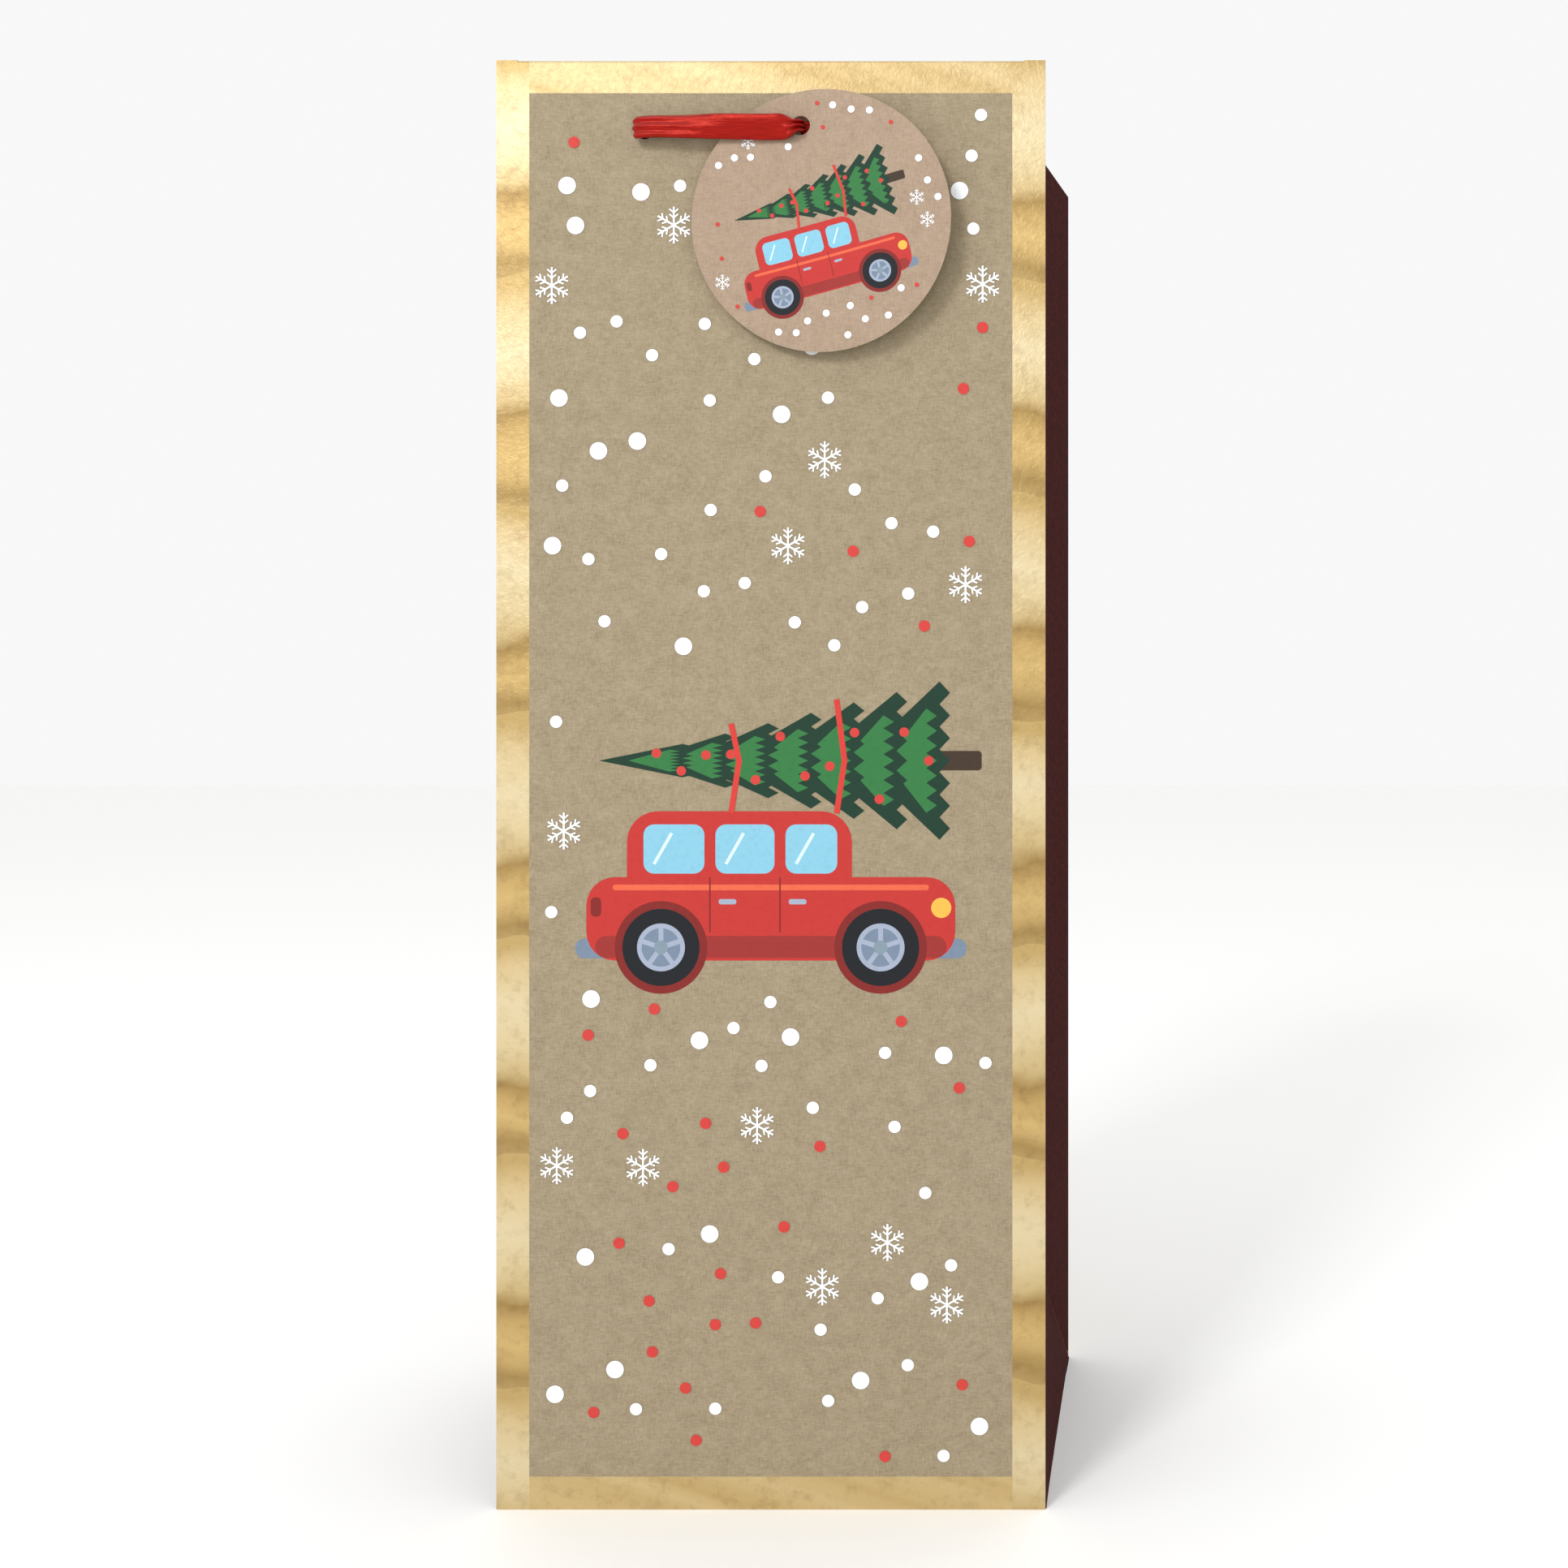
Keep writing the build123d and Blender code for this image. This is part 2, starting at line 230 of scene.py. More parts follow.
inkColours = {
    "inkWhite": "#f1f5f8", "inkRed": "#c63f3a", "inkBody": "#b83430", "inkShade": "#94302d",
    "inkDeep": "#7c2624", "inkGlow": "#da6244", "inkGlass": "#82bcd2",
    "inkGleam": "#cfe9f2", "inkTyre": "#1b1e22", "inkSilver": "#9aa4b8", "inkSteel": "#728296",
    "inkHub": "#7c8e9a", "inkLamp": "#e2b04a", "inkFir": "#1a382a",
    "inkLeaf": "#33733f", "inkBark": "#3f3227", "inkBow": "#c93c36",
}
inks = {name: offsetInk(name, colour) for name, colour in inkColours.items()}
inkNames = list(inks)
kraftFace = kraftPaper("brownKraftUncoated", "#a4967d", "#96886f", "#85785f")
kraftInside = kraftPaper("brownKraftRawInside", "#bba27d", "#ae9570", "#9c845f", 0.88)
kraftTag = kraftPaper("kraftFacedCard", "#aa9481", "#9f8974", "#907b67", 0.6)
cardEdge = kraftPaper("cutCardEdge", "#e2d6c3", "#d0c0a8", "#b5a286", 0.85)
foil = goldFoil("paleGoldFoil")
# dark red print on the gussets and side flaps, its colours darkened further as painted shade
maroonWithPaintedShade = printedPaper("darkRedPrintedKraftWithPaintedShade", "#2e0e0c", "#3b1411", "#4a1e19")
# lighter line along the folds: ink worn to the pulp, and a painted highlight on the crease edges
crackedInkAndHighlightMaroon = printedPaper("darkRedPrintedKraftCrackedAndHighlit", "#3a1612", "#562a20", "#7d5340", 0.9)
board = greyBoard("greyRecycledBoard")
satin = satinRibbon("redSatinRibbon")
print("materials made")


# ---- mesh helpers

def meshObject(name, points, faces, materials, faceMaterials=None, uvs=None, smooth=True):
    mesh = bpy.data.meshes.new(name)
    mesh.from_pydata([tuple(p) for p in points], [], faces)
    for material in materials:
        mesh.materials.append(material)
    if faceMaterials:
        mesh.polygons.foreach_set("material_index", faceMaterials)
    if uvs:
        layer = mesh.uv_layers.new(name="run")
        for loop in mesh.loops:
            layer.data[loop.index].uv = uvs[loop.vertex_index]
    mesh.polygons.foreach_set("use_smooth", [smooth] * len(mesh.polygons))
    mesh.update()
    made = bpy.data.objects.new(name, mesh)
    bpy.context.collection.objects.link(made)
    return made


def thickSheet(name, outer, inner, materials, pick=None, uvs=None, wrap=False, smooth=True):
    # a closed sheet between two grids of points, rows by columns
    # pick(row, column, side) gives each face its material
    rows, columns = len(outer), len(outer[0])
    points = [p for row in outer for p in row] + [p for row in inner for p in row]
    half = rows * columns
    faces, chosen = [], []
    choose = pick or (lambda row, column, side: {"outer": 0, "inner": 1, "rim": 2}[side] % len(materials))
    steps = columns if wrap else columns - 1
    for i in range(rows - 1):
        for j in range(steps):
            k = (j + 1) % columns
            a, b, c, d = i * columns + j, i * columns + k, (i + 1) * columns + k, (i + 1) * columns + j
            faces += [(a, b, c, d), (d + half, c + half, b + half, a + half)]
            chosen += [choose(i, j, "outer"), choose(i, j, "inner")]
    for j in range(steps):
        k = (j + 1) % columns
        low, high = (j, k), ((rows - 1) * columns + k, (rows - 1) * columns + j)
        for (p, q), i in ((low, 0), (high, rows - 2)):
            faces.append((q, p, p + half, q + half))
            chosen.append(choose(i, j, "rim"))
    if not wrap:
        for i in range(rows - 1):
            for p, q, j in ((i * columns, (i + 1) * columns, 0),
                            ((i + 2) * columns - 1, (i + 1) * columns - 1, columns - 2)):
                faces.append((p, q, q + half, p + half))
                chosen.append(choose(i, j, "rim"))
    flatUvs = [uv for row in uvs for uv in row] * 2 if uvs else None
    made = meshObject(name, points, faces, materials, chosen, flatUvs, smooth)
    tidy = bmesh.new()
    tidy.from_mesh(made.data)
    bmesh.ops.recalc_face_normals(tidy, faces=tidy.faces)
    tidy.to_mesh(made.data)
    tidy.free()
    return made


def sharpen(made, degrees=35):
    # shade smooth, but keep edges sharper than this crisp
    mesh = made.data
    grid = bmesh.new()
    grid.from_mesh(mesh)
    for edge in grid.edges:
        edge.smooth = not (len(edge.link_faces) == 2 and edge.calc_face_angle(0) > math.radians(degrees))
    grid.to_mesh(mesh)
    grid.free()
    return made


def punchHoles(made, centres, radius):
    cutters = []
    for x, z in centres:
        bpy.ops.mesh.primitive_cylinder_add(vertices=40, radius=radius, depth=0.3, location=(x, 0, z),
                                            rotation=(math.pi / 2, 0, 0))
        cutter = bpy.context.object
        cut = made.modifiers.new("hole", "BOOLEAN")
        cut.operation = "DIFFERENCE"
        cut.solver = "EXACT"
        cut.object = cutter
        cutters.append(cutter)
    bpy.context.view_layer.update()
    graph = bpy.context.evaluated_depsgraph_get()
    finished = bpy.data.meshes.new_from_object(made.evaluated_get(graph), preserve_all_data_layers=True,
                                               depsgraph=graph)
    made.modifiers.clear()
    made.data = finished
    for cutter in cutters:
        bpy.data.objects.remove(cutter, do_unlink=True)
    return made


# ---- places read from the frame

frontLow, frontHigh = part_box("front_panel")
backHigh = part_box("back_panel")[1]
hemLow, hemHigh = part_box("front_hem")
cardLow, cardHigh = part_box("base_card")
tagLow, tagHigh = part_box("gift_tag")
joints = {j["name"]: j for j in frame["joints"]}
halfWidth = frontHigh[0]
bagTop = frontHigh[2]
frontFace = frontLow[1]
backFace = backHigh[1]
paperThick = frontHigh[1] - frontLow[1]
stackThick = hemHigh[1] - frontFace
hemFoot = hemLow[2]
hemHalf = hemHigh[0]
cornerX, cornerY = joints["bag_fold"]["pos_m"][:2]
creaseX = joints["right_middle_crease"]["pos_m"][0]
triangleTop = 50 * mm
holeX = 28.7 * mm
tagHole = Vector(joints["tag_swing"]["pos_m"])
holeZ = tagHole.z
pleat = math.atan2(cornerX - creaseX, cornerY)
halfGusset = math.hypot(cornerX - creaseX, cornerY)


def foldsFlat(piece):
    # the paper and board by the floor gathers towards the back panel as the bag is folded
    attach(piece, "back_and_base")
    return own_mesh(piece)


# ---- camera, light and floor

view = {
    "distance": 316 * mm, "x": 88.7 * mm, "z": 173.5 * mm,
    "aimX": 3.0 * mm, "aimZ": 165.2 * mm, "span": 357 * mm,
}
cameraData = bpy.data.cameras.new("camera")
cameraData.sensor_width = 36
cameraData.lens = 36 * view["distance"] / view["span"]
cameraData.shift_x = (view["aimX"] - view["x"]) / view["span"]
cameraData.shift_y = (view["aimZ"] - view["z"]) / view["span"]
cameraData.clip_start = 0.01
camera = bpy.data.objects.new("camera", cameraData)
camera.location = (view["x"], frontFace - view["distance"], view["z"])
camera.rotation_euler = (math.pi / 2, 0, 0)
bpy.context.collection.objects.link(camera)
bpy.context.scene.camera = camera
bpy.context.scene.view_settings.view_transform = "Standard"

studio = {
    "key": {"place": (-0.62, -1.3, 1.0), "size": 0.45, "watts": 11.0},
    "fill": {"place": (1.2, -1.0, 0.5), "size": 1.2, "watts": 1.5},
    "skyStrength": 0.94,
}


def addLight(name, place, size, watts):
    data = bpy.data.lights.new(name, "AREA")
    data.size = size
    data.energy = watts
    lamp = bpy.data.objects.new(name, data)
    lamp.location = place
    lamp.rotation_euler = (Vector((0, 0, 0.16)) - Vector(place)).to_track_quat("-Z", "Y").to_euler()
    bpy.context.collection.objects.link(lamp)


for lampName in ("key", "fill"):
    addLight(lampName, **studio[lampName])
world = bpy.data.worlds.new("studio")
bpy.context.scene.world = world
world.use_nodes = True
world.node_tree.nodes["Background"].inputs[0].default_value = (1, 1, 1, 1)
world.node_tree.nodes["Background"].inputs[1].default_value = studio["skyStrength"]

floorMaterial, _, floorShader = newMaterial("paleFloor", Roughness=0.7)
floorShader.inputs["Base Color"].default_value = toLinear("#fdfdfc")
floorReach = 6
floorCorners = [(x * floorReach, y * floorReach, 0) for x, y in ((-1, -1), (1, -1), (1, 1), (-1, 1))]
floor = meshObject("floor", floorCorners, [(0, 1, 2, 3)], [floorMaterial])
print("camera, light and floor set")


# ---- ribbon tails with their knots

# each route is (inwards from the panel's outer face, down from the hole) in mm

tails = {
    "front_left": [(1.6, 0.3), (3.9, 2.6), (5.4, 5.8), (6.4, 11.7),
                   (6.0, 22.5), (6.6, 42), (5.7, 70), (6.3, 98)],
    "front_right": [(1.6, 0.3), (3.8, 2.7), (5.2, 6.0), (6.1, 12.0),
                    (6.5, 23.5), (5.8, 44), (6.5, 75), (6.0, 106)],
    "back_left": [(1.6, 0.3), (3.9, 2.6), (5.3, 5.9), (6.2, 11.8),
                  (5.8, 22.0), (6.4, 40), (5.8, 66), (6.2, 91)],
    "back_right": [(1.6, 0.3), (3.8, 2.7), (5.4, 5.9), (6.3, 11.9),
                   (6.6, 23.0), (6.0, 43), (6.6, 72), (6.1, 101)],
}
ribbonSize = {"width": 6.0 * mm, "thick": 0.3 * mm, "gathered": 3.7 * mm}


def splinePoints(points):
    # the smooth line of a limp cord through a route's control points
    curve = bpy.data.curves.new("route", "CURVE")
    curve.dimensions = "3D"
    curve.resolution_u = 12
    spline = curve.splines.new("NURBS")
    spline.points.add(len(points) - 1)
    for target, point in zip(spline.points, points):
        target.co = (*point, 1)
    spline.order_u = 3
    spline.use_endpoint_u = True
    holder = bpy.data.objects.new("route", curve)
    bpy.context.collection.objects.link(holder)
    bpy.context.view_layer.update()
    line = bpy.data.meshes.new_from_object(holder.evaluated_get(bpy.context.evaluated_depsgraph_get()))
    found = [v.co.copy() for v in line.vertices]
    bpy.data.objects.remove(holder, do_unlink=True)
    return found


def ribbonAlong(name, line, widths, sides, bows=None, thick=None, columns=12):
    # a flat ribbon on a line: widths and side directions for each point, bows gather it into folds
    thick = thick or ribbonSize["thick"]
    outer, inner, uvs = [], [], []
    run = 0.0
    for i, point in enumerate(line):
        ahead = (line[min(i + 1, len(line) - 1)] - line[max(i - 1, 0)]).normalized()
        side = (sides[i] - ahead * sides[i].dot(ahead)).normalized()
        up = ahead.cross(side).normalized()
        if i:
            run += (point - line[i - 1]).length
        top, under, uvRow = [], [], []
        for j in range(columns + 1):
            t = 2 * j / columns - 1
            lift = bows[i](t) if bows else 0.0
            middle = point + side * (widths[i] / 2 * t) + up * lift
            top.append(middle + up * thick / 2)
            under.append(middle - up * thick / 2)
            uvRow.append((run, ribbonSize["width"] * (t + 1) / 2))
        outer.append(top)
        inner.append(under)
        uvs.append(uvRow)
    made = thickSheet(name, outer, inner, [satin], lambda row, column, side: 0, uvs)
    return made


def smoothStep(t):
    t = min(max(t, 0.0), 1.0)
    return t * t * (3 - 2 * t)


def makeTail(corner, route):
    facing = -1 if corner.startswith("front") else 1
    x = -holeX if corner.endswith("left") else holeX
    body = "front" if facing < 0 else "back_and_base"
    face = frontFace if facing < 0 else backFace
    points = [Vector((x, face - facing * inwards * mm, holeZ - down * mm)) for inwards, down in route]
    line = splinePoints(points)
    count = len(line)
    widths, sides, bows = [], [], []
    twistEnd = 0.5 if corner.endswith("left") else -0.65
    for i in range(count):
        part = i / (count - 1)
        spread = smoothStep(part / 0.14) * smoothStep((1 - part) / 0.07)
        widths.append(ribbonSize["gathered"] + (ribbonSize["width"] - ribbonSize["gathered"]) * spread)
        turn = twistEnd * smoothStep((part - 0.15) / 0.7) * (1 - 0.5 * smoothStep((part - 0.9) / 0.1))
        sides.append(Vector((math.cos(turn), math.sin(turn), 0)))
        fold = (1 - spread) * (1.25 if part < 0.5 else 0.7) * mm
        curl = 0.35 * mm * spread
        bows.append(lambda t, fold=fold, curl=curl: fold * math.cos(2.2 * math.pi * t) + curl * t * t)
    tail = ribbonAlong(f"{corner}_ribbon_tail", line, widths, sides, bows)
    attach(tail, body)
    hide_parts(f"{corner}_tail")
    knot = makeKnot(corner, points[-1], twistEnd)
    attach(knot, body)
    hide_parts(f"{corner}_knot")


def makeKnot(corner, tip, turn):
    # an overhand knot pulled tight in flat ribbon, with its cut end hanging below
    rng = random.Random(corner)
    centre = tip + Vector((0, 0, -3.1 * mm))
    steps = 96
    line, sides, widths, bows = [], [], [], []
    for i in range(steps + 1):
        a = 2 * math.pi * i / steps
        # a trefoil, flattened front to back
        x = math.sin(a) + 2 * math.sin(2 * a)
        z = math.cos(a) - 2 * math.cos(2 * a)
        y = -math.sin(3 * a)
        line.append(centre + Vector((x * 0.78, y * 0.8, z * 0.86)) * mm)
        sides.append(Vector((0.25 * math.sin(a), 1.0, 0.35 * math.cos(a))).normalized())
        widths.append(2.3 * mm * (1 + 0.12 * math.sin(3 * a + rng.random() * 0.05)))
        bows.append(lambda t: 0.32 * mm * math.cos(math.pi * t * 0.9))
    loops = ribbonAlong(f"{corner}_ribbon_knot", line, widths, sides, bows, thick=0.55 * mm, columns=8)
    endSteps = range(11)
    endLine = [centre + Vector((0.2, 0.1, -1.5 - 0.9 * k)) * mm for k in endSteps]
    spread = [smoothStep(k / 6) for k in endSteps]
    endSide = Vector((math.cos(turn), math.sin(turn), 0))
    cutEnd = ribbonAlong(
        "end", endLine, [(2.2 + 3.6 * s) * mm for s in spread],
        [endSide + Vector((0, 0, -0.05 * k)) for k in endSteps],
        [lambda t, s=s: (1 - s) * 0.6 * mm * math.cos(2.4 * math.pi * t) + 0.4 * mm * s * t * t
         for s in spread])
    joined = bmesh.new()
    joined.from_mesh(loops.data)
    joined.from_mesh(cutEnd.data)
    joined.to_mesh(loops.data)
    joined.free()
    bpy.data.objects.remove(cutEnd, do_unlink=True)
    return loops


for tailCorner, tailRoute in tails.items():
    makeTail(tailCorner, tailRoute)
print("ribbon tails and knots hung")


# ---- front and back sheets: printed face, foil border, turned-in hem

border = 7.5 * mm
# painted reflection: where the foil's painted reflection bands start along each border
foilReflectionStart = {"side": 15.3 * mm, "across": 35.5 * mm}   # where the foil's bands begin


def cutAcross(limit):
    inside = halfWidth - border
    cuts = (-halfWidth, -hemHalf, -inside, inside, hemHalf, halfWidth)
    return [x for x in cuts if abs(x) <= limit + 1e-9]


def makePanel(name, facing, body, nodes):
    face = frontFace if facing < 0 else backFace
    inside = -facing

    def point(x, depth, z):
        return Vector((x, face + inside * depth, z))

    radius = stackThick / 2
    # the sheet's outer line seen from the side: up the face, over the mouth, down inside the hem
    faceHeights = (0, border, bagTop - border, bagTop - radius)
    lastOnFace, turnSteps = len(faceHeights) - 1, 8
    profile = [((0, z), (1, 0)) for z in faceHeights]
    for k in range(1, turnSteps):
        a = math.pi * k / turnSteps
        profile.append(((radius - radius * math.cos(a), bagTop - radius + radius * math.sin(a)),
                        (math.cos(a), -math.sin(a))))
    profile += [((stackThick, z), (-1, 0)) for z in (bagTop - radius, hemFoot)]
    columns = cutAcross(hemHalf)
    outer = [[point(x, d, z) for x in columns] for (d, z), _ in profile]
    inner = [[point(x, d + n[0] * paperThick, z + n[1] * paperThick) for x in columns]
             for (d, z), n in profile]
    uvs = [[(z, x) for x in columns] for (d, z), _ in profile]

    def pick(row, column, side):
        if side == "inner":
            return 2
        if row > lastOnFace:
            return 1 if row < lastOnFace + turnSteps else 3
        if side == "rim" and row == 0:
            return 1
        edge = column in (0, len(columns) - 2)
        return 1 if edge or row in (0, lastOnFace - 1, lastOnFace) else 0

    middle = thickSheet(name, outer, inner, [kraftFace, foil, kraftInside, kraftInside], pick, uvs,
                        smooth=False)
    punchRadius = 2.0 * mm
    punchHoles(middle, ((-holeX, holeZ), (holeX, holeZ)), punchRadius)
    joined = bmesh.new()
    joined.from_mesh(middle.data)
    for hand in (-1, 1):
        edges = sorted((hand * hemHalf, hand * halfWidth))
        rows = [0, bagTop * 0.25, bagTop * 0.5, bagTop * 0.75, bagTop]
        strip = thickSheet(
            "strip", [[point(x, 0, z) for x in edges] for z in rows],
            [[point(x, paperThick, z) for x in edges] for z in rows], [kraftFace, foil, kraftInside],
            lambda row, column, side: {"outer": 1, "inner": 2, "rim": 1}[side],
            [[(foilReflectionStart["side"] + z, x) for x in edges] for z in rows], smooth=False)
        joined.from_mesh(strip.data)
        bpy.data.objects.remove(strip, do_unlink=True)
    # side borders read their painted reflection bands up the bag, top and bottom borders read a pale painted
    # reflection tone across it
    layer = joined.loops.layers.uv.active
    for f in joined.faces:
        centre = f.calc_center_median()
        upright = abs(centre.x) > halfWidth - border
        for loop in f.loops:
            co = loop.vert.co
            # painted reflection: top and bottom borders take a pale tone from the band ramp
            pale = foilReflectionStart["across"] + 0.06 * abs(co.x)
            loop[layer].uv = (foilReflectionStart["side"] + co.z, co.x) if upright else (pale, co.x + 3 * co.z)
    joined.to_mesh(middle.data)
    joined.free()
    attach(middle, body)
    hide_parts(*nodes)
    return middle


makePanel("front_sheet", -1, "front", ("front_panel", "front_hem"))
makePanel("back_sheet", 1, "back_and_base", ("back_panel", "back_hem"))
print("front and back sheets folded")


# ---- gussets

gussetNames = {1: "right", -1: "left"}
# the pleats run on down inside the side triangles, so that no hole opens there when the bag is folded
gussetFoot = cardHigh[2] + 0.6 * mm


def gussetPoint(hand, end, along, depth, z):
    # along runs from the corner crease to the middle crease, depth from the outer face inwards
    lean = pleat
    x = cornerX - along * math.sin(lean) - (depth - paperThick / 2) * math.cos(lean)
    y = cornerY - along * math.cos(lean) + (depth - paperThick / 2) * math.sin(lean)
    return Vector((hand * x, end * y, z))


def wavy(along, z, seed):
    # how far the soft paper stands off its flat, less at the creases
    calm = math.sin(math.pi * min(max(along / halfGusset, 0), 1))
    soft = 0.35 * mm * math.sin(z * 31 + seed) * math.sin(z * 11 + 2 * seed + along * 40)
    # the ridge of the fold that lets the base lie flat
    ridgeTop = triangleTop + 5 * mm * (1 - along / halfGusset)
    ridge = 0.55 * mm * math.exp(-((z - ridgeTop) / (1.7 * mm)) ** 2)
    return calm * (soft - ridge)


def inHem(row, rows):
    return gussetFoot + (bagTop - gussetFoot) * (row + 0.5) / rows > hemFoot


def makeGussetHalf(hand, end):
    side, place = gussetNames[hand], "rear" if end > 0 else "front"
    alongs = [0.0, 1.5 * mm, 2.6 * mm, 8 * mm, 16 * mm, 24 * mm, 32 * mm, halfGusset - 1.6 * mm]
    rows = 132
    heights = [k / rows for k in range(rows + 1)]
    outer, inner = [], []
    for part in heights:
        outRow, inRow = [], []
        for along in alongs:
            z = gussetFoot + (bagTop - gussetFoot) * part
            sway = wavy(along, z, hand + 2 * end) * math.sin(math.pi * part)
            # the turned-in paper stops short of the corner, where it would jam the fold
            thick = 2 * paperThick if z > hemFoot and along > 2 * mm else paperThick
            outRow.append(gussetPoint(hand, end, along, sway, z))
            inRow.append(gussetPoint(hand, end, along, sway + thick, z))
        outer.append(outRow)
        inner.append(inRow)
    sheet = thickSheet(f"{side}_gusset_{place}_sheet", outer, inner, [maroonWithPaintedShade, kraftInside],
                       lambda row, column, face: 0 if face != "inner" or inHem(row, rows) else 1)
    sharpen(sheet)
    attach(sheet, f"{side}_{place}_half")
    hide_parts(f"{side}_gusset_{place}", f"{side}_hem_{place}")


def makeMiddleCrease(hand):
    # the strip of paper that bends where the two halves of a gusset meet
    side = gussetNames[hand]
    reach = 1.6 * mm
    rows, columns = 26, 8
    middle = columns // 2
    outer, inner = [], []
    for k in range(rows + 1):
        outRow, inRow = [], []
        for j in range(columns + 1):
            t = j / middle - 1
            end = 1 if t < 0 else -1
            along = halfGusset - reach * abs(t)
            z = gussetFoot + (bagTop - gussetFoot) * k / rows
            thick = 2 * paperThick if z > hemFoot else paperThick
            ease = 0.22 * mm * (1 - abs(t)) ** 2   # the crease is rounded, not a knife edge
            a = gussetPoint(hand, end, along, 0, z) + Vector((hand * ease, 0, 0))
            b = gussetPoint(hand, end, along, thick, z) + Vector((hand * ease, 0, 0))
            if j == middle:
                a.y = b.y = 0
            outRow.append(a)
            inRow.append(b)
        outer.append(outRow)
        inner.append(inRow)
    # a lighter line along the fold: the ink cracks and lets the pulp show, and the line is also a painted
    # highlight on the crease edge
    strip = thickSheet(f"{side}_middle_crease_strip", outer, inner, [maroonWithPaintedShade, kraftInside, crackedInkAndHighlightMaroon],
                       lambda row, column, face: 2 if face == "outer" and column in (middle - 1, middle) else
                       0 if face != "inner" or inHem(row, rows) else 1)
    sharpen(strip, 50)
    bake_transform(strip)


def makeSideTriangle(hand):
    # the part of the side that stays by the base: a soft dent, lighter diagonals that are worn ink and a
    # painted highlight on the fold edges, a crushed lower corner
    side = gussetNames[hand]
    outer, inner = [], []
    rows = 20
    across = [-1, -0.985, -0.9, -0.72, -0.5, -0.25, 0, 0.25, 0.5, 0.72, 0.9, 0.985, 1]
    for i in range(rows + 1):
        up = i / rows
        outRow, inRow = [], []
        for t in across:
            y = cornerY * t * (1 - up)
            inX = (cornerX - creaseX) * up
            dent = 0.55 * mm * math.sin(math.pi * up) * (1 - t * t) * (1 + 0.4 * math.sin(9 * up + 4 * t))
            crush = 0.5 * mm * max(0.0, 1 - math.hypot((t - 0.86) / 0.16, (up - 0.1) / 0.14))
            x = halfWidth - inX + 0.25 * mm * abs(t) ** 6 - dent + crush * math.sin(40 * up + 9 * t)
            outRow.append(Vector((hand * min(x, halfWidth + 0.25 * mm), y, triangleTop * up)))
            inRow.append(Vector((hand * (min(x, halfWidth + 0.25 * mm) - paperThick), y, triangleTop * up)))
        outer.append(outRow)
        inner.append(inRow)
    # the two diagonal fold edges get the lighter line: worn ink and a painted highlight
    sheet = thickSheet(f"{side}_side_triangle_sheet", outer, inner, [maroonWithPaintedShade, kraftInside, crackedInkAndHighlightMaroon],
                       lambda row, column, face: 1 if face == "inner" else
                       2 if column in (0, len(across) - 2) else 0)
    sharpen(sheet)
    foldsFlat(sheet)
    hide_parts(f"{side}_side_triangle")


for gussetHand in (1, -1):
    makeGussetHalf(gussetHand, 1)
    makeGussetHalf(gussetHand, -1)
    makeMiddleCrease(gussetHand)
    makeSideTriangle(gussetHand)
print("gussets pleated")


# ---- base flaps and board

def makePlate(name, node, corners, low, high, material, soften=0.12 * mm):
    # a flat piece cut to an outline, its edges eased
    plate = bmesh.new()
    ring = [plate.verts.new((x, y, low)) for x, y in corners]
    plate.faces.new(ring)
    grown = bmesh.ops.extrude_face_region(plate, geom=plate.faces[:])
    for v in grown["geom"]:
        if isinstance(v, bmesh.types.BMVert):
            v.co.z = high
    bmesh.ops.recalc_face_normals(plate, faces=plate.faces)
    bmesh.ops.bevel(plate, geom=plate.edges[:], offset=min(soften, (high - low) * 0.4), segments=2,
                    affect="EDGES")
    mesh = bpy.data.meshes.new(name)
    plate.to_mesh(mesh)
    plate.free()
    mesh.materials.append(material)
    made = bpy.data.objects.new(name, mesh)
    bpy.context.collection.objects.link(made)
    foldsFlat(made)
    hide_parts(node)
    return made


def boxOutline(low, high):
    return [(low[0], low[1]), (high[0], low[1]), (high[0], high[1]), (low[0], high[1])]


for flap in ("front_base_flap", "rear_base_flap"):
    low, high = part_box(flap)
    cut = 9 * mm   # the flap's free corners are cut off
    free = high[1] if flap.startswith("front") else low[1]
    fixed = low[1] + paperThick if flap.startswith("front") else high[1]
    shy = cut if free > fixed else -cut
    outline = [(low[0], fixed), (high[0], fixed), (high[0], free - shy), (high[0] - cut, free),
               (low[0] + cut, free), (low[0], free - shy)]
    makePlate(f"{flap}_sheet", flap, outline, low[2], high[2], kraftInside)
for flapHand, flapSide in gussetNames.items():
    low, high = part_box(f"{flapSide}_base_flap")
    outerX, innerX = (high[0], low[0]) if flapHand > 0 else (low[0], high[0])
    shy = high[0] - low[0]
    outline = [(outerX, low[1]), (outerX, high[1]), (innerX, high[1] - shy), (innerX, low[1] + shy)]
    makePlate(f"{flapSide}_base_flap_sheet", f"{flapSide}_base_flap", outline, low[2], high[2], maroonWithPaintedShade)
makePlate("base_board", "base_card", boxOutline(cardLow, cardHigh), cardLow[2], cardHigh[2], board,
          0.3 * mm)
print("base flaps and board laid")


# ---- the printed picture; shapes are in mm from the panel's middle and the floor

def disc(x, z, radius, steps=28):
    return [(x + radius * math.cos(2 * math.pi * k / steps), z + radius * math.sin(2 * math.pi * k / steps))
            for k in range(steps)]


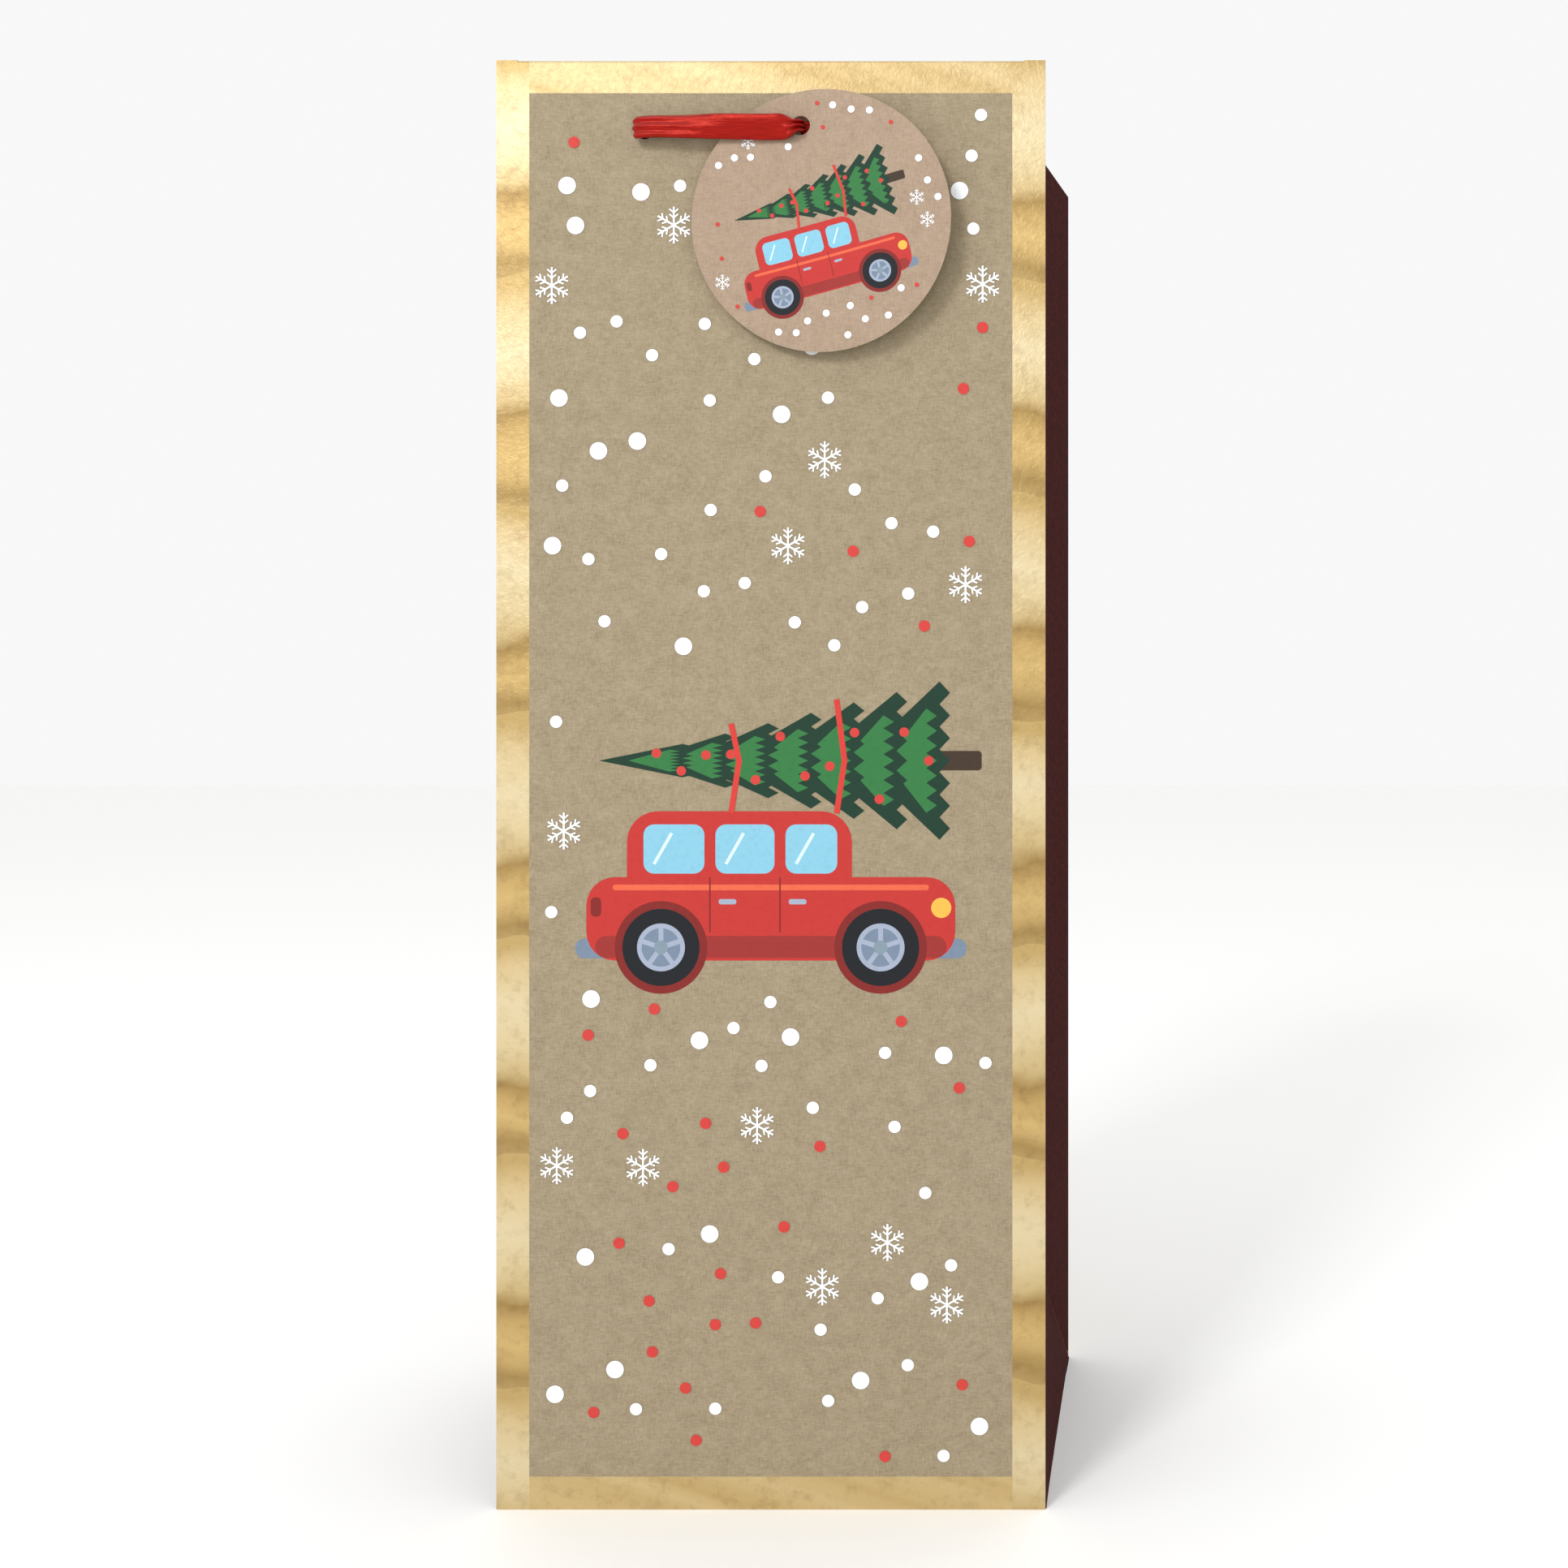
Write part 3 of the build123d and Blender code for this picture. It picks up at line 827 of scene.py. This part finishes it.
def stroke(points, width, taper=False):
    # a line of even width, or one that narrows to nothing at both ends
    left, right = [], []
    for i, (x, z) in enumerate(points):
        ax, az = points[max(i - 1, 0)]
        bx, bz = points[min(i + 1, len(points) - 1)]
        size = math.hypot(bx - ax, bz - az) or 1
        share = math.sin(math.pi * (i + 0.15) / (len(points) - 0.7)) if taper else 1
        nx, nz = -(bz - az) / size * width / 2 * share, (bx - ax) / size * width / 2 * share
        left.append((x + nx, z + nz))
        right.append((x - nx, z - nz))
    return left + right[::-1]


def arcLine(x, z, radius, start, stop, steps=14):
    angles = [math.radians(start + (stop - start) * k / steps) for k in range(steps + 1)]
    return [(x + radius * math.cos(a), z + radius * math.sin(a)) for a in angles]


def roundedBox(x0, z0, x1, z1, radius, steps=6):
    line = []
    for cx, cz, start in ((x1 - radius, z1 - radius, 0), (x0 + radius, z1 - radius, 90),
                          (x0 + radius, z0 + radius, 180), (x1 - radius, z0 + radius, 270)):
        line += arcLine(cx, cz, radius, start, start + 90, steps)
    return line


def drawFlake(run, x, z, diameter, level):
    # six plain arms with two pairs of barbs on each
    size = diameter / 2
    for k in range(6):
        turn = math.pi / 3 * (k + 0.5)

        def spot(along, across, turn=turn):
            return (x + size * (along * math.cos(turn) - across * math.sin(turn)),
                    z + size * (along * math.sin(turn) + across * math.cos(turn)))

        run.append(("inkWhite", stroke([spot(0, 0), spot(1, 0)], 0.1 * size), level + 0.1 * k))
        for pair, along in enumerate((0.4, 0.68)):
            for hand in (-1, 1):
                barb = stroke([spot(along, 0), spot(along + 0.2, hand * 0.24)], 0.08 * size)
                run.append(("inkWhite", barb, level + 0.7 + 0.1 * pair + 0.05 * hand))


# the picture is a plain toy-like car with a fir on its roof, drawn from these sizes, axles at height 0
carSize = {"length": 84.0, "floor": -3.0, "waist": 16.0, "roof": 31.0, "wheel": 8.8, "wheelBase": 50.0}
treeSize = {"length": 78.0, "foot": 36.0, "tiers": 7, "teeth": 7, "trunk": 9.0, "baubles": 12}


def drawWheel(run, x, level):
    wheel = carSize["wheel"]
    rings = ((1.2, "inkDeep"), (1.0, "inkTyre"), (0.62, "inkSilver"), (0.5, "inkSteel"))
    spokes = 5
    for k, (share, ink) in enumerate(rings):
        run.append((ink, disc(x, 0, wheel * share, 48), level + 0.4 * k))
    for k in range(spokes):
        turn = 2 * math.pi * (k + 0.25) / spokes
        spoke = [(x, 0), (x + 0.56 * wheel * math.cos(turn), 0.56 * wheel * math.sin(turn))]
        run.append(("inkSilver", stroke(spoke, 1.1), level + 2))
    run.append(("inkHub", disc(x, 0, wheel * 0.18, 20), level + 2.4))


def drawCar(run, level):
    end = carSize["length"] / 2
    floor, waist, roof = carSize["floor"], carSize["waist"], carSize["roof"]
    run.append(("inkSteel", roundedBox(-end - 2.5, floor + 0.5, end + 2.5, floor + 5, 2.0), level))
    run.append(("inkBody", roundedBox(-0.78 * end, waist - 9, 0.44 * end, roof, 7.0), level + 0.4))
    run.append(("inkBody", roundedBox(-end, floor, end, waist, 6.5), level + 0.8))
    run.append(("inkShade", roundedBox(-end + 2, floor + 0.6, end - 2, floor + 5.6, 2.4), level + 1.2))
    run.append(("inkGlow", roundedBox(-end + 6, waist - 3, end - 6, waist - 1.7, 0.6), level + 1.2))
    for left, right in ((-0.69, -0.36), (-0.3, 0.02), (0.08, 0.36)):
        pane = roundedBox(left * end, waist + 0.8, right * end, roof - 3, 2.4)
        run.append(("inkGlass", pane, level + 1.2))
        gleam = [(left * end + 2.4, waist + 3), (left * end + 6.4, roof - 5)]
        run.append(("inkGleam", stroke(gleam, 0.7), level + 1.6))
    for share in (-0.33, 0.05):
        x = share * end
        run.append(("inkDeep", stroke([(x, floor + 6.4), (x, waist)], 0.35), level + 1.6))
        run.append(("inkSilver", roundedBox(x + 2, waist - 6.2, x + 6, waist - 5, 0.5), level + 1.6))
    run.append(("inkLamp", disc(end - 3.2, waist - 7, 2.3, 24), level + 1.6))
    run.append(("inkDeep", roundedBox(-end + 1, waist - 9, -end + 3.4, waist - 4.6, 1.0), level + 1.6))
    for hand in (-1, 1):
        drawWheel(run, hand * carSize["wheelBase"] / 2, level + 2)


def drawTree(run, level):
    # the fir lies along the roof: toothed tiers from its foot to its tip, then baubles and two straps
    tiers, teeth, length, foot = (treeSize[k] for k in ("tiers", "teeth", "length", "foot"))
    axis = carSize["roof"] + 0.32 * foot
    footX, pitch = length / 2, length / (tiers + 1)
    trunk = roundedBox(footX - 3, axis - 2.2, footX + treeSize["trunk"], axis + 2.2, 0.8)
    run.append(("inkBark", trunk, level))
    for k in range(tiers):
        back = footX - k * pitch
        half = foot / 2 * (1 - k / (tiers + 0.6))
        for share, ink, lift in ((1.0, "inkFir", 0.3), (0.66, "inkLeaf", 0.6)):
            start = back - (0 if share == 1 else 3)
            edge = [(start + (1.8 if j % 2 else -0.6), axis + share * half * (1 - j / teeth))
                    for j in range(2 * teeth + 1)]
            run.append((ink, [(back - 2 * pitch * share, axis)] + edge, level + lift + 0.7 * k))
    top = level + 1.2 + 0.7 * tiers
    for k in range(treeSize["baubles"]):
        x = footX - 3 - k * (length - 16) / (treeSize["baubles"] - 1)
        reach = foot / 2 * (x + length / 2) / length
        run.append(("inkRed", disc(x, axis + 0.6 * reach * math.sin(2.4 * k), 1.1, 16), top))
    for x in (-9, 15):
        reach = foot / 2 * (x + length / 2) / length
        strap = stroke([(x, axis + reach + 1.5), (x + 1.8, axis), (x, carSize["roof"] - 0.5)], 1.3)
        run.append(("inkBow", strap, top + 0.4))


# what falls round the picture: ink or flake, how many, and size
snow = [("flake", 15, 8.4), ("inkWhite", 24, 2.0), ("inkWhite", 52, 1.4), ("inkRed", 32, 1.3)]
tagSnow = [("flake", 4, 3.6), ("inkWhite", 20, 0.8), ("inkRed", 8, 0.5)]
panelField = {"halfWidth": 50.0, "foot": 12.0, "head": 318.0, "gap": 8.0, "seed": 5}
tagField = {"gap": 3.4, "edge": 2.4, "holeGap": 5.0, "scale": 0.46, "seed": 8}
pictureBox = (-47.0, -11.0, 51.0, 68.0)
carPlace = (0.0, 128.0)
treeLevel, snowLevel = 8, 16   # the order the inks lie in, lowest first


def scatter(run, kinds, rng, pick, clear, gap, level):
    # every place keeps its gap to all earlier ones
    taken = []
    for kind, count, size in kinds:
        left = count
        while left:
            x, z = pick(rng)
            if not clear(x, z) or any(math.hypot(x - a, z - b) < gap for a, b in taken):
                continue
            taken.append((x, z))
            left -= 1
            if kind == "flake":
                drawFlake(run, x, z, size, level)
            else:
                run.append((kind, disc(x, z, size, 24), level))


def overPicture(x, z):
    left, low, right, high = pictureBox
    return left < x < right and low < z < high


def shifted(run, place, scale=1.0, turn=0.0):
    c, s = math.cos(turn) * scale, math.sin(turn) * scale
    return [(ink, [(place[0] + x * c - z * s, place[1] + x * s + z * c) for x, z in shape], level)
            for ink, shape, level in run]


def panelPrint():
    picture = []
    drawCar(picture, 1)
    drawTree(picture, treeLevel)
    run = shifted(picture, carPlace)
    field = panelField

    def pick(rng):
        x = rng.uniform(-field["halfWidth"], field["halfWidth"])
        return x, rng.uniform(field["foot"], field["head"])

    def clear(x, z):
        underRibbon = abs(x) < 34 and z > holeZ / mm - 8
        return not underRibbon and not overPicture(x - carPlace[0], z - carPlace[1])

    scatter(run, snow, random.Random(field["seed"]), pick, clear, field["gap"], snowLevel)
    return run


inkLift = {"first": 0.02 * mm, "perLevel": 0.006 * mm}


def pressPrint(name, run, place, cutEvery=0):
    # fills every shape and lays it on the paper, each ink a few thousandths of a mm above the one below
    grid = bmesh.new()
    for ink, shape, level in run:
        corners = [grid.verts.new((x * mm, level, z * mm)) for x, z in shape]
        for a, b, c in tessellate_polygon([[Vector((x, z, 0)) for x, z in shape]]):
            if len({a, b, c}) == 3:
                face = grid.faces.new((corners[a], corners[b], corners[c]))
                face.material_index = inkNames.index(ink)
    if cutEvery:
        xs = [v.co.x for v in grid.verts]
        x = min(xs)
        while x < max(xs):
            bmesh.ops.bisect_plane(grid, geom=grid.verts[:] + grid.edges[:] + grid.faces[:],
                                   plane_co=(x, 0, 0), plane_no=(1, 0, 0))
            x += cutEvery
    for v in grid.verts:
        v.co = place(v.co.x, v.co.z, inkLift["first"] + inkLift["perLevel"] * v.co.y)
    mesh = bpy.data.meshes.new(name)
    grid.to_mesh(mesh)
    grid.free()
    for ink in inkNames:
        mesh.materials.append(inks[ink])
    made = bpy.data.objects.new(name, mesh)
    bpy.context.collection.objects.link(made)
    return made


for facing, body, printName in ((-1, "front", "front_print"), (1, "back_and_base", "back_print")):
    paperFace = frontFace if facing < 0 else backFace
    laid = pressPrint(printName, panelPrint(),
                      lambda x, z, off, facing=facing, paperFace=paperFace:
                      Vector((-facing * x, paperFace + facing * off, z)))
    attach(laid, body)
print("panels printed")


# ---- gift tag

tagSize = {
    "radius": (tagHigh[0] - tagLow[0]) / 2 - 0.4 * mm, "thick": tagHigh[1] - tagLow[1],
    "hole": 2.2 * mm, "tilt": 14.0,
}
tagMiddle = Vector(((tagLow[0] + tagHigh[0]) / 2, 0, (tagLow[2] + tagHigh[2]) / 2 - 0.6 * mm))


def tagOff(x):
    # the card is lifted on its right and curls a little
    run = (x - tagHole.x) / mm
    return (2.1 + 0.05 * run + 0.0012 * run * run) * mm


def makeTag():
    turns, rings = 120, 22
    outer, inner = [], []
    for i in range(rings + 1):
        outRow, inRow = [], []
        share = i / rings
        for j in range(turns):
            a = 2 * math.pi * j / turns
            edgeX = tagHole.x + tagSize["hole"] * math.cos(a)
            edgeZ = tagHole.z + tagSize["hole"] * math.sin(a)
            x = edgeX + share * (tagMiddle.x + tagSize["radius"] * math.cos(a) - edgeX)
            z = edgeZ + share * (tagMiddle.z + tagSize["radius"] * math.sin(a) - edgeZ)
            outRow.append(Vector((x, frontFace - tagOff(x) - tagSize["thick"], z)))
            inRow.append(Vector((x, frontFace - tagOff(x), z)))
        outer.append(outRow)
        inner.append(inRow)
    card = thickSheet("gift_tag_card", outer, inner, [kraftTag, cardEdge, cardEdge], wrap=True)
    sharpen(card)
    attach(card, "tag")
    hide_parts("gift_tag")


def tagPrint():
    # the same picture, about half size, turned with the hanging tag and clear of its hole
    picture = []
    drawCar(picture, 1)
    drawTree(picture, treeLevel)
    field = tagField
    turn, scale = math.radians(tagSize["tilt"]), field["scale"]
    left, low, right, high = pictureBox
    middleX, middleZ = tagMiddle.x / mm, tagMiddle.z / mm
    halfX, halfZ = (left + right) / 2 * scale, (low + high) / 2 * scale
    place = (middleX - halfX * math.cos(turn) + halfZ * math.sin(turn),
             middleZ - halfX * math.sin(turn) - halfZ * math.cos(turn) - 1.5)
    run = shifted(picture, place, scale, turn)
    rim = tagSize["radius"] / mm - field["edge"]

    def pick(rng):
        return middleX + rng.uniform(-rim, rim), middleZ + rng.uniform(-rim, rim)

    def clear(x, z):
        dx, dz = (x - place[0]) / scale, (z - place[1]) / scale
        local = (dx * math.cos(turn) + dz * math.sin(turn), dz * math.cos(turn) - dx * math.sin(turn))
        byHole = math.hypot(x - tagHole.x / mm, z - tagHole.z / mm) < field["holeGap"]
        return math.hypot(x - middleX, z - middleZ) < rim and not byHole and not overPicture(*local)

    scatter(run, tagSnow, random.Random(field["seed"]), pick, clear, field["gap"], snowLevel)
    return run


makeTag()
tagInk = pressPrint("gift_tag_print", tagPrint(),
                    lambda x, z, off: Vector((x, frontFace - tagOff(x) - tagSize["thick"] - 0.6 * off, z)),
                    2 * mm)
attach(tagInk, "tag")
print("gift tag cut and printed")


# ---- the ribbon across the front and back

def ribbonRoute(name, points, shape):
    # points are (x, stand-off from the face, drop) in mm; shape(part) gives width, fold depth, curl and lean,
    # and part goes up evenly from point to point, however far apart they are
    line = splinePoints([Vector((x * mm, frontFace - off * mm, holeZ - drop * mm))
                         for x, off, drop in points])
    count = len(line)
    widths, bows, sides = [], [], []
    for i in range(count):
        width, fold, curl, lean = shape(i / (count - 1))
        widths.append(width * mm)
        bows.append(lambda t, fold=fold, curl=curl:
                    (fold * math.cos(2.6 * math.pi * t + 0.6) - curl * t * t - 0.5 * curl * abs(t) ** 6) * mm)
        sides.append(Vector((0, -math.sin(lean), math.cos(lean))))
    return ribbonAlong(name, line, widths, sides, bows, columns=26)


def leftShape(part):
    # gathered where it comes out of the bag, then open and flat, then leaning forward over the tag
    spread = smoothStep((part - 0.05) / 0.16) * smoothStep((0.75 - part) / 0.12)
    crease = math.exp(-((part - 0.27) / 0.13) ** 2)
    lean = -0.06 + 0.38 * smoothStep((part - 0.36) / 0.16) * (1 - smoothStep((part - 0.62) / 0.1))
    return 2.6 + (2.2 + 1.1 * part) * spread, 0.6 * (1 - spread) + 0.2 * crease, 0.25 + 0.1 * spread, lean


ribbonLeft = ribbonRoute("front_ribbon_left_span", [
    (-28.9, -1.6, 0.2), (-29.3, 0.4, 0.2), (-30.7, 1.5, 0.3), (-30.2, 2.7, 0.3), (-26.8, 3.2, 0.2),
    (-19, 3.5, 0.4), (-12, 4.3, 0.8), (-4, 4.4, 1.1), (3.0, 4.4, 1.1), (6.6, 4.5, 0.8), (8.0, 3.8, 0.4),
    (7.7, 2.7, 0.1), (7.4, 1.6, 0.0), (7.4, 0.6, 0.0)], leftShape)
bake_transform(ribbonLeft)
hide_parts("front_ribbon_left", "front_ribbon_on_tag")


def rightShape(part):
    return 3.5 + 1.3 * math.sin(math.pi * part), 0.25 + 0.8 * smoothStep((part - 0.7) / 0.3), 0.0, 0.0


ribbonRight = ribbonRoute("front_ribbon_right_span", [
    (7.5, 1.1, 0.2), (8.6, 0.8, 0.1), (13, 0.75, 0.4), (19, 0.75, 0.5), (25, 0.75, 0.2), (28.2, 0.7, 0.1),
    (28.8, -0.3, 0.1), (28.9, -1.6, 0.2)], rightShape)
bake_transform(ribbonRight)
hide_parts("front_ribbon_right")


def backShape(part):
    spread = smoothStep(part / 0.15) * smoothStep((1 - part) / 0.15)
    return 3.5 + 1.9 * spread, 1.1 * (1 - spread), 0.3 * spread, 0.12 * math.sin(5 * part)


backLine = [(-28.9, -1.6, 0.2), (-29.4, 0.4, 0.1), (-30.4, 1.2, 0.0), (-27.6, 1.7, 0.0), (-20, 1.5, 0.4),
            (-9, 1.5, 0.9), (4, 1.6, 0.9), (17, 1.4, 0.5), (27.2, 1.7, 0.0), (30.4, 1.2, 0.0),
            (29.4, 0.4, 0.1), (28.9, -1.6, 0.2)]
ribbonBack = ribbonRoute("back_ribbon_span", backLine, backShape)
for vertex in ribbonBack.data.vertices:
    vertex.co.y = -vertex.co.y
ribbonBack.data.flip_normals()
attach(ribbonBack, "back_and_base")
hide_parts("back_ribbon")
print("ribbon threaded")


# ---- finish on the CAD parts that stay in sight

for node, material in (("front_hem_card", board), ("back_hem_card", board), ("side_seam_tab", kraftInside)):
    part = frame["nodes"][node]
    part.data.materials.clear()
    part.data.materials.append(material)
